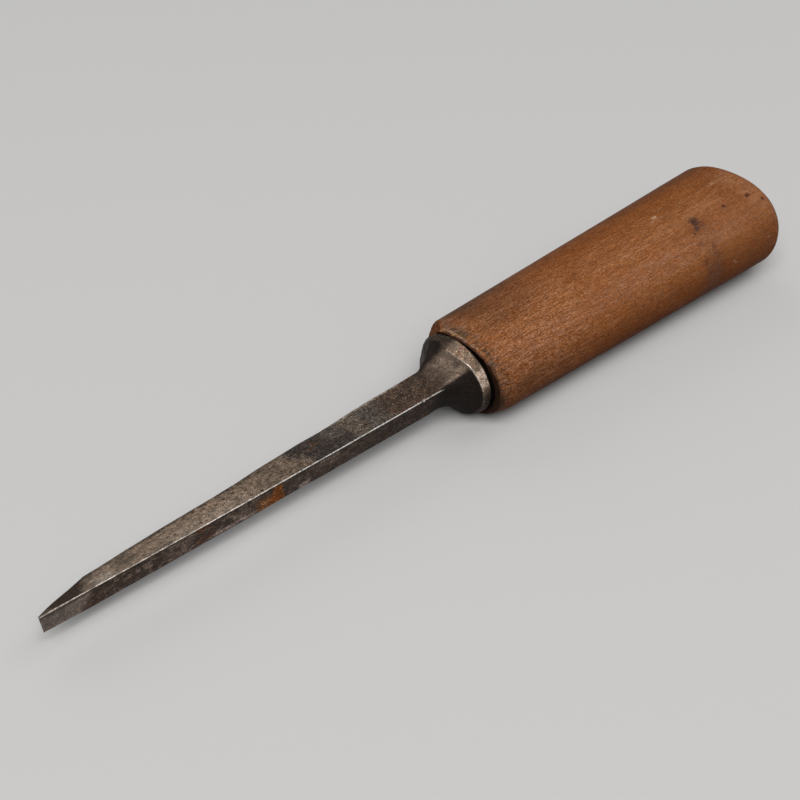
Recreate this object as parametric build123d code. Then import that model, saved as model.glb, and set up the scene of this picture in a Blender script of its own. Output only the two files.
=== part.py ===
from build123d import *
import os
from math import atan, cos, degrees, pi, radians, sin, sqrt, tan

os.makedirs("parts", exist_ok=True)

# V parting tool: a one-piece steel forging (V blade, square shank, bolster, tang)
# driven into a tapered oval wooden handle. Millimetres, +Z up.
# The tool is drawn with the handle's axis along X, the blade towards -X and the
# bolster's seat through the origin, then laid on the underside of its handle.

# Handle
HANDLE_LENGTH = 102.2
FRONT_HALF_WIDTH = 13.3
FRONT_HALF_HEIGHT = 10.5
BUTT_HALF_WIDTH = 16.15
BUTT_HALF_HEIGHT = 12.3
SECTION_FULLNESS = 2.24
SECTION_POINTS = 24
BUTT_ROUNDING = 5.0
UNDERSIDE_FLAT_DEPTH = 0.1
FRONT_WEAR_WIDTH = 9.5
FRONT_WEAR_RISE = 0.42

# Seat between bolster and handle: sawn a little out of square
SEAT_LEAN = 7.4
SEAT_SWING = 1.6

# Bolster
BOLSTER_RADIUS = 10.15
BOLSTER_THICKNESS = 3.0
BOLSTER_EDGE_LENGTH = 1.8
BOLSTER_EDGE_DEPTH = 1.3
BOLSTER_BACK_BREAK = 0.3
FLARE_START = 11.4
SQUARE_FLARE_HALF = 6.2
SQUARE_FLARE_CURVE = 3.0
ROUND_FLARE_START = 9.4
ROUND_FLARE_CURVE = 1.8
FLARE_STEPS = 6

# Shank and blade: angles are turned from straight down towards +Y
SHANK_SIDE = 7.1
SHANK_ROLL = 17.1
NEAR_FACE_ANGLE_TIP = 15.6
FAR_FACE_ANGLE_TIP = 66.8
BLADE_LENGTH = 113.0
NEAR_WING_LENGTH_TIP = 6.0
FAR_WING_LENGTH_TIP = 5.85
KEEL_TIP_Y = -0.83
KEEL_TIP_Z = 1.43
BLADE_BOW = 0.15
V_SECTION_END = 68.0
SHANK_SECTION_START = 32.0
BACK_SWELL = 0.04

# V channel
WALL_TIP = 0.9
WALL_HEEL = 1.7
CHANNEL_END = 44.0
CHANNEL_FULL = 70.0

# Ground tip
FAR_BEVEL_KEEL = 3.0
FAR_BEVEL_WING = 16.0
FAR_BEVEL_ANGLE = 7.0
NEAR_BEVEL_KEEL = 13.7
NEAR_BEVEL_WING = 1.4
NEAR_BEVEL_ANGLE = 1.0
FAR_WING_SWEEP = 11.0
NEAR_WING_SWEEP = 1.2

# Tang and its socket
TANG_ROOT_SIDE = 5.4
TANG_END_SIDE = 3.2
TANG_LENGTH = 58.0
TANG_CLEARANCE = 0.12
SOCKET_END_ROOM = 2.0

BIG = 60.0


def superellipse(half_width, half_height, x):
    """Closed oval section of the handle, square to X at x."""
    power = 2.0 / SECTION_FULLNESS
    points = []
    for i in range(SECTION_POINTS):
        a = 2.0 * pi * i / SECTION_POINTS
        c = cos(a)
        s = sin(a)
        y = half_width * abs(c) ** power * (1 if c >= 0 else -1)
        z = half_height * abs(s) ** power * (1 if s >= 0 else -1)
        points.append((x, y, z))
    return Face(Wire([Edge.make_spline([Vector(*p) for p in points], periodic=True)]))


def square_section(side_y, side_z, x):
    """Square section centred on the axis."""
    corners = [(x, -side_y / 2, -side_z / 2), (x, side_y / 2, -side_z / 2)]
    corners += [(x, side_y / 2, side_z / 2), (x, -side_y / 2, side_z / 2)]
    return Face(Wire.make_polygon([Vector(*p) for p in corners], close=True))


def beyond(point, normal):
    """Large block filling the side of a plane that its normal points to."""
    block = Box(2 * BIG, 2 * BIG, BIG, align=(Align.CENTER, Align.CENTER, Align.MIN))
    return Plane(origin=point, z_dir=normal) * block


def down_turned(angle):
    """Unit direction in the section plane, turned from straight down towards +Y."""
    return Vector(0, sin(radians(angle)), -cos(radians(angle)))


SEAT_NORMAL = Vector(-1, -tan(radians(SEAT_SWING)), -tan(radians(SEAT_LEAN))).normalized()
SHANK_CENTRE_OFFSET = (down_turned(SHANK_ROLL) + down_turned(SHANK_ROLL + 90)) * (SHANK_SIDE / 2)
HANDLE_SLOPE = degrees(atan((BUTT_HALF_HEIGHT - FRONT_HALF_HEIGHT) / HANDLE_LENGTH))


def along_blade(distance):
    """0 at the tip, 1 where the flare of the bolster starts."""
    return (BLADE_LENGTH - distance) / (BLADE_LENGTH - FLARE_START)


def keel(distance):
    """Point on the keel, this far ahead of the seat; the blade bows a little at mid length."""
    t = along_blade(distance)
    bow = BLADE_BOW * 4.0 * t * (1.0 - t)
    y = KEEL_TIP_Y + (-SHANK_CENTRE_OFFSET.Y - KEEL_TIP_Y) * t - bow
    z = KEEL_TIP_Z + (-SHANK_CENTRE_OFFSET.Z - KEEL_TIP_Z) * t - bow
    return Vector(-distance, y, z)


def wing_length(distance, at_tip):
    return at_tip + (SHANK_SIDE - at_tip) * along_blade(distance)


def far_angle(distance):
    return FAR_FACE_ANGLE_TIP + (SHANK_ROLL + 90 - FAR_FACE_ANGLE_TIP) * along_blade(distance)


def near_angle(distance):
    return NEAR_FACE_ANGLE_TIP + (SHANK_ROLL - NEAR_FACE_ANGLE_TIP) * along_blade(distance)


def far_wing(distance):
    return down_turned(far_angle(distance)) * wing_length(distance, FAR_WING_LENGTH_TIP)


def near_wing(distance):
    return down_turned(near_angle(distance)) * wing_length(distance, NEAR_WING_LENGTH_TIP)


def blade_section(distance, back):
    """Four-cornered section: keel, far edge, back, near edge."""
    k = keel(distance)
    f = far_wing(distance)
    n = near_wing(distance)
    return Face(Wire.make_polygon([k, k + f, k + (f + n) * back, k + n], close=True))


def bar():
    """Blade and shank before the channel is cut and the tip is ground."""
    v_back = 0.5 + BACK_SWELL
    front = [blade_section(BLADE_LENGTH, v_back), blade_section(V_SECTION_END, v_back)]
    rear = [blade_section(SHANK_SECTION_START, 1.0), blade_section(FLARE_START, 1.0)]
    return loft(front, ruled=True) + loft([front[1], rear[0]], ruled=True) + loft(rear, ruled=True)


def channel_section(distance, wall):
    """V section of the channel, standing off both outer faces by the wall."""
    far_way = down_turned(far_angle(distance))
    near_way = down_turned(near_angle(distance))
    stand_off = wall / sin(radians(far_angle(distance) - near_angle(distance)))
    apex = keel(distance) + (far_way + near_way) * stand_off
    reach = 2.0 * SHANK_SIDE
    return Face(Wire.make_polygon([apex, apex + far_way * reach, apex + near_way * reach], close=True))


def channel():
    """V channel: full depth near the tip, running out towards the shank."""
    full = channel_section(CHANNEL_FULL, WALL_HEEL)
    tip = channel_section(BLADE_LENGTH + 2.0, WALL_TIP)
    end = channel_section(CHANNEL_END, 0.62 * SHANK_SIDE)
    return loft([tip, full], ruled=True) + loft([full, end], ruled=True)


def face_bevel(wing, outward_turn, at_keel, at_wing, angle):
    """Block that grinds one outer face towards the cutting edge."""
    edge_at = BLADE_LENGTH - at_wing
    start = keel(BLADE_LENGTH - at_keel)
    hinge = (keel(edge_at) + wing(edge_at) - start).normalized()
    outward = hinge.cross(start - keel(BLADE_LENGTH)).normalized()
    if outward.dot(wing(edge_at).rotate(Axis.X, outward_turn)) < 0:
        outward = outward * -1
    normal = outward.rotate(Axis((0, 0, 0), hinge), angle)
    if normal.X > 0:
        normal = outward.rotate(Axis((0, 0, 0), hinge), -angle)
    ground_zone = beyond((max(at_keel, at_wing) - BLADE_LENGTH, 0, 0), (-1, 0, 0))
    return beyond(start, normal) & ground_zone


def wing_sweep(wing, other_wing, sweep):
    """Block that cuts one wing, and not the other, back from the tip of the keel."""
    start = keel(BLADE_LENGTH)
    way = wing(BLADE_LENGTH)
    other_way = other_wing(BLADE_LENGTH)
    edge = Vector(sweep, 0, 0) + way
    normal = edge.cross(way.cross(Vector(1, 0, 0))).normalized()
    if normal.X > 0:
        normal = normal * -1
    return beyond(start, normal) & beyond(start, way.normalized() - other_way.normalized())


def ground_tip():
    """Everything that grinding takes away at the tip."""
    far_bevel = face_bevel(far_wing, 90, FAR_BEVEL_KEEL, FAR_BEVEL_WING, FAR_BEVEL_ANGLE)
    near_bevel = face_bevel(near_wing, -90, NEAR_BEVEL_KEEL, NEAR_BEVEL_WING, NEAR_BEVEL_ANGLE)
    far_sweep = wing_sweep(far_wing, near_wing, FAR_WING_SWEEP)
    near_sweep = wing_sweep(near_wing, far_wing, NEAR_WING_SWEEP)
    return [far_bevel, near_bevel, far_sweep, near_sweep]


def square_flare_section(t):
    """Square section growing from the shank (t = 0) to the bolster (t = 1), leaning as it goes."""
    distance = FLARE_START + (BOLSTER_THICKNESS - FLARE_START) * t
    half = SHANK_SIDE / 2 + (SQUARE_FLARE_HALF - SHANK_SIDE / 2) * t ** SQUARE_FLARE_CURVE
    corners = []
    for quarter in range(4):
        corner = down_turned(SHANK_ROLL + 45 + 90 * quarter) * (half * sqrt(2))
        lean = tan(radians(SEAT_LEAN)) * corner.Z + tan(radians(SEAT_SWING)) * corner.Y
        corners.append(Vector(-distance - lean * t, corner.Y, corner.Z))
    return Face(Wire.make_polygon(corners, close=True))


def round_flare_section(t):
    """Round section that softens the four facets as they reach the bolster."""
    distance = ROUND_FLARE_START + (BOLSTER_THICKNESS - ROUND_FLARE_START) * t
    start = SHANK_SIDE / 2 - 0.1
    radius = start + (BOLSTER_RADIUS - BOLSTER_EDGE_DEPTH - start) * t ** ROUND_FLARE_CURVE
    normal = Vector(-1, 0, 0) * (1 - t) + SEAT_NORMAL * t
    return Plane(origin=(-distance, 0, 0), z_dir=normal) * Circle(radius)


def flare():
    """Spreads the square shank out to the round bolster."""
    steps = [i / FLARE_STEPS for i in range(FLARE_STEPS + 1)]
    square = loft([square_flare_section(t) for t in steps], ruled=True)
    rounded = loft([round_flare_section(t) for t in steps])
    return square + rounded


def bolster():
    """Round collar with a worn front edge; its back is the seat."""
    seat = Plane(origin=(0, 0, 0), z_dir=SEAT_NORMAL)
    collar = seat * Cylinder(BOLSTER_RADIUS, BOLSTER_THICKNESS, align=(Align.CENTER, Align.CENTER, Align.MIN))
    rims = collar.edges().filter_by(GeomType.CIRCLE).sort_by(Axis((0, 0, 0), SEAT_NORMAL))
    collar = chamfer(rims[-1], BOLSTER_EDGE_LENGTH, BOLSTER_EDGE_DEPTH)
    rims = collar.edges().filter_by(GeomType.CIRCLE).sort_by(Axis((0, 0, 0), SEAT_NORMAL))
    return chamfer(rims[0], BOLSTER_BACK_BREAK)


def tang():
    """Tapered square tang, starting inside the bolster."""
    inside = BOLSTER_THICKNESS / 2
    grow = (TANG_ROOT_SIDE - TANG_END_SIDE) / TANG_LENGTH * inside
    root = square_section(TANG_ROOT_SIDE + grow, TANG_ROOT_SIDE + grow, -inside)
    end = square_section(TANG_END_SIDE, TANG_END_SIDE, TANG_LENGTH)
    return loft([root, end], ruled=True)


def socket():
    """Room for the tang in the handle."""
    room = 2 * TANG_CLEARANCE
    taper = (TANG_ROOT_SIDE - TANG_END_SIDE) / TANG_LENGTH
    root_side = TANG_ROOT_SIDE + room + taper * BOLSTER_THICKNESS
    end_side = TANG_END_SIDE + room - taper * SOCKET_END_ROOM
    root = square_section(root_side, root_side, -BOLSTER_THICKNESS)
    end = square_section(end_side, end_side, TANG_LENGTH + SOCKET_END_ROOM)
    return loft([root, end], ruled=True)


def handle_half(x, front, butt):
    return front + (butt - front) * x / HANDLE_LENGTH


def handle():
    """Tapered oval handle, rounded over at the butt, sawn out of square at the seat."""
    lead = -2.0 * BOLSTER_THICKNESS
    sections = []
    for x in (lead, HANDLE_LENGTH):
        wide = handle_half(x, FRONT_HALF_WIDTH, BUTT_HALF_WIDTH)
        high = handle_half(x, FRONT_HALF_HEIGHT, BUTT_HALF_HEIGHT)
        sections.append(superellipse(wide, high, x))
    body = loft(sections)
    butt_edge = body.edges().sort_by(Axis.X)[-1]
    body = fillet(butt_edge, BUTT_ROUNDING)
    body = body - beyond((0, 0, 0), SEAT_NORMAL)
    body = body - beyond((0, FRONT_WEAR_WIDTH, 0), (-1, 1, FRONT_WEAR_RISE))
    return body - socket()


def blade():
    """The whole steel forging."""
    steel = bar() - channel()
    for block in ground_tip():
        steel = steel - block
    return steel + flare() + bolster() + tang()


def laid_down(shape):
    """Turn the tool so the underside of its handle lies level, axis still in the XZ plane."""
    return Rot(0, -HANDLE_SLOPE, 0) * shape


UNDERSIDE = -FRONT_HALF_HEIGHT * cos(radians(HANDLE_SLOPE)) + UNDERSIDE_FLAT_DEPTH

blade_body = laid_down(blade())
handle_body = laid_down(handle()) - beyond((0, 0, UNDERSIDE), (0, 0, -1))

both = blade_body.bounding_box().add(handle_body.bounding_box())
to_origin = Pos(-both.center().X, -both.center().Y, -UNDERSIDE)

export_step(to_origin * blade_body, "parts/blade.step")
export_step(to_origin * handle_body, "parts/handle.step")
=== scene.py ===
import bmesh
import bpy
import math
import numpy as np
from mathutils import Matrix, Vector
from types import SimpleNamespace


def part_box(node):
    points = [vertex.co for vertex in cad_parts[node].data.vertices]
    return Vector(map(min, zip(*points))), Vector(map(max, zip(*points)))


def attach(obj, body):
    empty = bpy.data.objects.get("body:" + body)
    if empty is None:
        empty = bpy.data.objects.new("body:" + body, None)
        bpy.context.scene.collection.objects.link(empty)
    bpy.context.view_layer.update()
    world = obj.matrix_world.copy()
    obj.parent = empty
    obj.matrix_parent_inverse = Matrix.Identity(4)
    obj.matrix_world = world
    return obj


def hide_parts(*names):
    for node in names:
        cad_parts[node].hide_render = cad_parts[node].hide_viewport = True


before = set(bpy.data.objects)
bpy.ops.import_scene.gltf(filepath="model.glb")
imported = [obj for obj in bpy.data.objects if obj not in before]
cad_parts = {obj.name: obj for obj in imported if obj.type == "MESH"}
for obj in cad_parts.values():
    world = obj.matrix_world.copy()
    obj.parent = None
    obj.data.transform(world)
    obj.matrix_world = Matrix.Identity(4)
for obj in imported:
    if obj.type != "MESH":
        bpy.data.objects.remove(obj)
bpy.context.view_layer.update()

# Tool axes, in mm: X along the handle towards its butt, Z up, the bolster's seat
# through the origin. d is mm ahead of the seat, towards the blade's tip, and v is the
# share of the way from the keel out to a wing's edge. Angles in degrees turn from
# straight down towards +Y on the blade, and from +Y towards +Z on the handle.
# "Near" is the side that faces the camera, towards -Y.

# ---- sizes
HANDLE_LENGTH = 102.2
FRONT_HALF_WIDTH = 13.3
FRONT_HALF_HEIGHT = 10.5
BUTT_HALF_WIDTH = 16.15
BUTT_HALF_HEIGHT = 12.3
SECTION_FULLNESS = 2.24
FRONT_ROUNDING = 0.5
BUTT_ROUNDING = 5
UNDERSIDE_FLAT_DEPTH = 0.1
FRONT_WEAR_WIDTH = 9.5
FRONT_WEAR_RISE = 0.42
SEAT_LEAN = math.tan(math.radians(7.4))
SEAT_SWING = math.tan(math.radians(1.6))
BOLSTER_RADIUS = 10.15
FLARE_START = 11.4
SHANK_SIDE = 7.1
SHANK_ROLL = 17.1
NEAR_ANGLE_TIP = 15.6
FAR_ANGLE_TIP = 66.8
BLADE_LENGTH = 113
NEAR_WING_TIP = 6
FAR_WING_TIP = 5.85
KEEL_TIP = np.array([-0.83, 1.43])
BLADE_BOW = 0.15
V_SECTION_END = 68
SHANK_SECTION_START = 32
BACK_SWELL = 0.54
WALL_TIP = 0.9
WALL_HEEL = 1.7
KEEN_EDGE = 0.12
KEEN_TAPER = 0.1
FAR_GROUND_OFF = 0.12
NEAR_GROUND_OFF = 0.28
CHANNEL_FULL = 70
CHANNEL_END = 46
CHANNEL_RAMP_END = 44
CHANNEL_RUN_OUT = 0.035
CHANNEL_ROOT_SHARE = 0.62
FAR_BEVEL = (3, 16, 7)
NEAR_BEVEL = (13.7, 1.4, 1)
FAR_SWEEP = 13.4
FAR_EDGE_BOW = 1.5
NEAR_SWEEP = 1.2
FAR_SWELL_AT = (11.4, 18, 24, 31, 36, 40, 44, 56,
                61, 68, 75, 82, 89, 95, 100, 104)
FAR_SWELL = (0, 0.08, 0.25, 0.25, 0.08, 0.1, 0.25, 0.32,
             0.1, 0.12, 0.3, 0.42, 0.4, 0.25, 0.22, 0)
NEAR_SWELL_AT = (41, 46, 54, 59, 78, 88, 103, 109, 113)
NEAR_SWELL = (0, -0.25, -0.22, 0, 0.05, 0.18, 0.28, 0.15, 0)
TANG_ROOT = 5.4
TANG_END = 3.2
TANG_LENGTH = 58
TANG_CLEARANCE = 0.12
SOCKET_SPARE = 2

SLOPE = math.atan((BUTT_HALF_HEIGHT - FRONT_HALF_HEIGHT) / HANDLE_LENGTH)
MM = 0.001
TINY = 1e-9
COINCIDENT = 1e-7


def to_row(points):
    """Tool axes to the frame, in metres, laid on the underside of the handle."""
    c = math.cos(SLOPE)
    s = math.sin(SLOPE)
    butt = c * HANDLE_LENGTH + s * (BUTT_HALF_HEIGHT - BUTT_ROUNDING)
    x_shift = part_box("handle")[1].x / MM - butt
    z_shift = FRONT_HALF_HEIGHT * c - UNDERSIDE_FLAT_DEPTH
    x = c * points[..., 0] - s * points[..., 2] + x_shift
    z = s * points[..., 0] + c * points[..., 2] + z_shift
    return np.stack([x, points[..., 1], z], -1) * MM


# ---- small helpers
def add(name, data):
    """New object in the scene."""
    obj = bpy.data.objects.new(name, data)
    bpy.context.scene.collection.objects.link(obj)
    return obj


def ease(x, low, high):
    """0 up to low, 1 from high on, and eased between them."""
    t = np.clip((x - low) / (high - low), 0, 1)
    return t * t * (3 - 2 * t)


def fall(x, low, high):
    return 1 - ease(x, low, high)


def zone(x, low, high, soft):
    """1 from low to high, with soft ends."""
    return ease(x, low - soft, low + soft) * fall(x, high - soft, high + soft)


def mix(a, b, t):
    return a + (b - a) * t


def peak(x, at, width):
    return np.exp(-((x - at) / width) ** 2)


def steps(count):
    """This many even steps up to 1."""
    return np.linspace(0, 1, count + 1)[1:]


HASH_PRIMES = (73856093, 19349663, 83492791, 2654435761)
HASH_MIXERS = (1274126177, 668265263)
LOW_31_BITS = 0x7FFFFFFF
LOW_24_BITS = 0xFFFFFF
OCTAVE_SCALE = 2.03
OCTAVE_SHIFT = 17.3


def cell_value(ix, iy, iz, seed):
    """A value from 0 to 1 for one cell of a grid."""
    h = 0
    for part, prime in zip((ix, iy, iz, seed), HASH_PRIMES):
        h ^= part * prime
    h = (h ^ (h >> 13)) * HASH_MIXERS[0] & LOW_31_BITS
    h = (h ^ (h >> 15)) * HASH_MIXERS[1] & LOW_31_BITS
    return (h & LOW_24_BITS) / float(LOW_24_BITS)


def noise(points, size, seed, octaves=3):
    """Smooth value noise, about -1 to 1; size is its grain in mm, or one for each axis."""
    total = np.zeros(points.shape[:-1])
    weight = 1
    whole = 0
    p = points / np.asarray(size, float)
    for octave in range(octaves):
        base = np.floor(p).astype(np.int64)
        f = p - base
        f = f * f * (3 - 2 * f)
        value = 0
        for dx, dy, dz in np.ndindex(2, 2, 2):
            share = np.abs(1 - dx - f[..., 0]) * np.abs(1 - dy - f[..., 1])
            share *= np.abs(1 - dz - f[..., 2])
            cell = (base[..., 0] + dx, base[..., 1] + dy, base[..., 2] + dz)
            value += share * cell_value(*cell, seed + octave)
        total += weight * (2 * value - 1)
        whole += weight
        weight *= 0.5
        p = p * OCTAVE_SCALE + OCTAVE_SHIFT
    return total / whole


def grid_normals(rings):
    """Outward unit normals of a grid that closes on itself along its second axis."""
    along = np.gradient(rings, axis=0)
    across = np.roll(rings, -1, 1) - np.roll(rings, 1, 1)
    n = np.cross(across, along)
    return n / np.maximum(np.linalg.norm(n, axis=-1, keepdims=True), TINY)


def build(name, rings, caps, tint, layers):
    """Mesh object from rings of points, end faces, colours and float layers."""
    rows, lanes = rings.shape[:2]
    index = np.arange(rows * lanes).reshape(rows, lanes)
    turned = np.roll(index, -1, 1)
    quads = np.stack([index[:-1], turned[:-1], turned[1:], index[1:]], -1).reshape(-1, 4)
    faces = quads.tolist() + [[int(index[s, j]) for s, j in cap] for cap in caps]
    mesh = bpy.data.meshes.new(name)
    mesh.from_pydata(to_row(rings).reshape(-1, 3).tolist(), [], faces)
    colour = mesh.color_attributes.new("tint", "FLOAT_COLOR", "POINT")
    rgba = np.pad(np.clip(tint, 0, 1), ((0, 0), (0, 0), (0, 1)), constant_values=1)
    colour.data.foreach_set("color", rgba.astype(np.float32).ravel())
    for key, values in layers.items():
        layer = mesh.attributes.new(key, "FLOAT", "POINT")
        values = np.clip(values, 0, 1).astype(np.float32)
        layer.data.foreach_set("value", values.ravel())
    shape = bmesh.new()
    shape.from_mesh(mesh)
    bmesh.ops.dissolve_degenerate(shape, dist=COINCIDENT, edges=shape.edges)
    bmesh.ops.recalc_face_normals(shape, faces=shape.faces)
    for face in shape.faces:
        face.smooth = True
    shape.to_mesh(mesh)
    shape.free()
    return add(name, mesh)


FULL_COLOUR = 1000


class Paint:
    """Colour, roughness and metal of every vertex, laid on in coats."""

    def __init__(self, shape, colour, rough, metal):
        self.tint = np.zeros(shape + (3,)) + np.array(colour) / FULL_COLOUR
        self.rough = np.zeros(shape) + rough
        self.metal = np.zeros(shape) + metal

    def coat(self, cover, colour, rough=None, metal=None):
        cover = np.clip(cover, 0, 1)
        self.tint = mix(self.tint, np.array(colour) / FULL_COLOUR, cover[..., None])
        if rough is not None:
            self.rough = mix(self.rough, rough, cover)
        if metal is not None:
            self.metal = mix(self.metal, metal, cover)

    def within(self, part):
        """The same coat, kept to one part."""
        return lambda cover, *finish: self.coat(part * cover, *finish)


# ---- blade, shank and bolster
def turned_down(angle):
    """Unit (y, z) direction at an angle."""
    a = np.radians(angle)
    return np.stack([np.sin(a), -np.cos(a)], -1)


KEEL_HEEL = -(turned_down(SHANK_ROLL) + turned_down(SHANK_ROLL + 90)) * (SHANK_SIDE / 2)


def wings(d):
    """Keel point, far and near directions and lengths, and the sine between them."""
    t = (BLADE_LENGTH - d) / (BLADE_LENGTH - FLARE_START)
    bow = BLADE_BOW * 4 * t * (1 - t)
    keel = mix(KEEL_TIP, KEEL_HEEL, t[..., None]) - bow[..., None]
    far_angle = mix(FAR_ANGLE_TIP, SHANK_ROLL + 90, t)
    near_angle = mix(NEAR_ANGLE_TIP, SHANK_ROLL, t)
    far_long = mix(FAR_WING_TIP, SHANK_SIDE, t) + np.interp(d, FAR_SWELL_AT, FAR_SWELL)
    near_long = mix(NEAR_WING_TIP, SHANK_SIDE, t) + np.interp(d, NEAR_SWELL_AT, NEAR_SWELL)
    spread = np.sin(np.radians(far_angle - near_angle))
    return keel, turned_down(far_angle), turned_down(near_angle), far_long, near_long, spread


def wall(d, to_edge, ground_off):
    """Wall between outer face and channel, thinned to a keen edge at the tip."""
    t = (d - CHANNEL_FULL) / (BLADE_LENGTH + 2 - CHANNEL_FULL)
    root = CHANNEL_ROOT_SHARE * SHANK_SIDE
    slope = (root - WALL_HEEL) / (CHANNEL_FULL - CHANNEL_RAMP_END)
    fore = mix(WALL_HEEL, WALL_TIP, t)
    aft = WALL_HEEL + (CHANNEL_FULL - d) * slope
    aft += CHANNEL_RUN_OUT * np.maximum(CHANNEL_END - d, 0) ** 2
    keen = KEEN_EDGE + ground_off + KEEN_TAPER * to_edge
    return np.minimum(np.where(d > CHANNEL_FULL, fore, aft), keen)


RIM_NARROWS_FROM = 0.7
RIM_NARROWEST = 0.35


def section(d, to_edge):
    """Six corners: keel, near edge, near rim, channel root, far rim, far edge."""
    keel, far, near, far_long, near_long, spread = wings(d)
    shank = (V_SECTION_END - d) / (V_SECTION_END - SHANK_SECTION_START)
    back = mix(BACK_SWELL, 1, np.clip(shank, 0, 1))
    far_back = back * far_long
    near_back = back * near_long
    root_far = np.minimum(wall(d, to_edge, FAR_GROUND_OFF) / spread, far_back)
    root_near = np.minimum(wall(d, to_edge, NEAR_GROUND_OFF) / spread, near_back)
    rim_near, rim_far = (mix(rim, RIM_NARROWEST, ease(rim, RIM_NARROWS_FROM, 1))
                         for rim in (root_far / far_back, root_near / near_back))
    none = 0 * d
    far_rim = far_long * (1 - (1 - back) * rim_far)
    near_rim = near_long * (1 - (1 - back) * rim_near)
    in_far = (none, none, far_back * rim_near, root_far, far_rim, far_long)
    in_near = (none, near_long, near_rim, root_near, near_back * rim_far, none)
    return [keel + far * a[..., None] + near * b[..., None] for a, b in zip(in_far, in_near)]


# Points round the section: for each corner an arc, then the run to the next corner
FACE_POINTS = 40
RIM_POINTS = 6
ARC_POINTS = (8, 4, 3, 8, 3, 4)
RUN_POINTS = (FACE_POINTS, RIM_POINTS, FACE_POINTS) * 2
CORNER_SHARE = (0, 1, 1) * 2
CORNERS = 6
KEEL, NEAR_EDGE, NEAR_RIM, CHANNEL_ROOT, FAR_RIM, FAR_EDGE = range(CORNERS)


def ring_plan():
    """Each point's corner, whether it is on an arc, how far along, v and side."""
    rows = []
    for i in range(CORNERS):
        start, end = CORNER_SHARE[i], CORNER_SHARE[(i + 1) % CORNERS]
        for on_arc, count in ((True, ARC_POINTS[i]), (False, RUN_POINTS[i])):
            for k in range(count):
                u = (k + 0.5) / count
                share = start if on_arc else mix(start, end, u)
                rows.append((i, on_arc, u, share, i >= CHANNEL_ROOT))
    return np.array(rows, float)


PLAN = ring_plan()
CORNER = PLAN[:, 0].astype(int)
ON_ARC = PLAN[:, 1] > 0.5
ALONG = PLAN[:, 2]
SHARE = PLAN[:, 3]
FAR_SIDE = PLAN[:, 4] > 0.5
OUTER_NEAR = (CORNER == KEEL) & ~ON_ARC
KEEL_ARC = (CORNER == KEEL) & ON_ARC
EDGE_AT = BLADE_LENGTH - np.where(FAR_SIDE, FAR_SWEEP * SHARE ** FAR_EDGE_BOW,
                                  NEAR_SWEEP * SHARE)

# Roundings of the corners, on the blade and on the shank; the keel's own comes first
KEEL_CUT = 0.2
KEEL_CUT_BLADE = 0.07
KEEL_CUT_TIP = 0.3
BLADE_CUTS = (None, 0.16, 0.12, 0.55, 0.12, 0.16)
SHANK_CUTS = (None, 0.45, 0.3, 0.5, 0.3, 0.45)
SHANK_CUTS_FROM = 46
SHANK_CUTS_FULL = 34
CUT_LIMIT = 0.45
TIP_ZONE = 88
TIP_STATIONS = 112
STATION_STEP = 0.25
SHORTEST_RUN = 1e-6


def corner_cut(i, d):
    """How far an edge's rounding reaches back from its corner."""
    if i == KEEL:
        worn = KEEL_CUT + KEEL_CUT_BLADE * zone(d, 48, 104, 8)
        return worn + KEEL_CUT_TIP * ease(d, 100, 112)
    shank = ease(-d, -SHANK_CUTS_FROM, -SHANK_CUTS_FULL)
    return mix(BLADE_CUTS[i], SHANK_CUTS[i], shank)


def span(a, b):
    return np.maximum(np.linalg.norm(a - b, axis=-1, keepdims=True), SHORTEST_RUN)


def blade_rings():
    """Rings from the cutting edge to the start of the flare, and each point's d."""
    tip = np.linspace(0, 1, TIP_STATIONS)[::-1, None]
    d_tip = TIP_ZONE + (EDGE_AT - TIP_ZONE) * tip
    d_rest = np.arange(TIP_ZONE - STATION_STEP, FLARE_START + 0.01, -STATION_STEP)
    d = np.concatenate([d_tip, d_rest[:, None] + 0 * EDGE_AT])
    corners = section(d, EDGE_AT - d)
    points = np.zeros(d.shape + (2,))
    t = ALONG[:, None]
    for i in range(CORNERS):
        before, at, after = corners[i - 1], corners[i], corners[(i + 1) % CORNERS]
        cut = corner_cut(i, d)[..., None]
        next_cut = corner_cut((i + 1) % CORNERS, d)[..., None]
        start = at + (before - at) * np.minimum(cut / span(before, at), CUT_LIMIT)
        end = at + (after - at) * np.minimum(cut / span(after, at), CUT_LIMIT)
        next_start = after + (at - after) * np.minimum(next_cut / span(after, at), CUT_LIMIT)
        arc = (1 - t) ** 2 * start + 2 * t * (1 - t) * at + t ** 2 * end
        here = np.where(ON_ARC[:, None], arc, mix(end, next_start, t))
        points = np.where((CORNER == i)[:, None], here, points)
    return np.concatenate([-d[..., None], points], -1), d


# Ground faces: the wing and the other one in what wings() gives, the lanes it cuts, and
# the bevel: mm back from the tip at the keel and at the edge, and its angle
GROUND_FACES = ((1, 2, KEEL_ARC | (CORNER == FAR_RIM) | (CORNER == FAR_EDGE), FAR_BEVEL),
                (2, 1, OUTER_NEAR | (CORNER == NEAR_EDGE), NEAR_BEVEL))


def on_face(wing, back, share):
    """Point on an outer face, by mm back from the tip and v."""
    w = wings(np.array(BLADE_LENGTH - back))
    yz = w[0] + w[wing] * w[wing + 2] * share
    return np.array([back - BLADE_LENGTH, yz[0], yz[1]])


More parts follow.
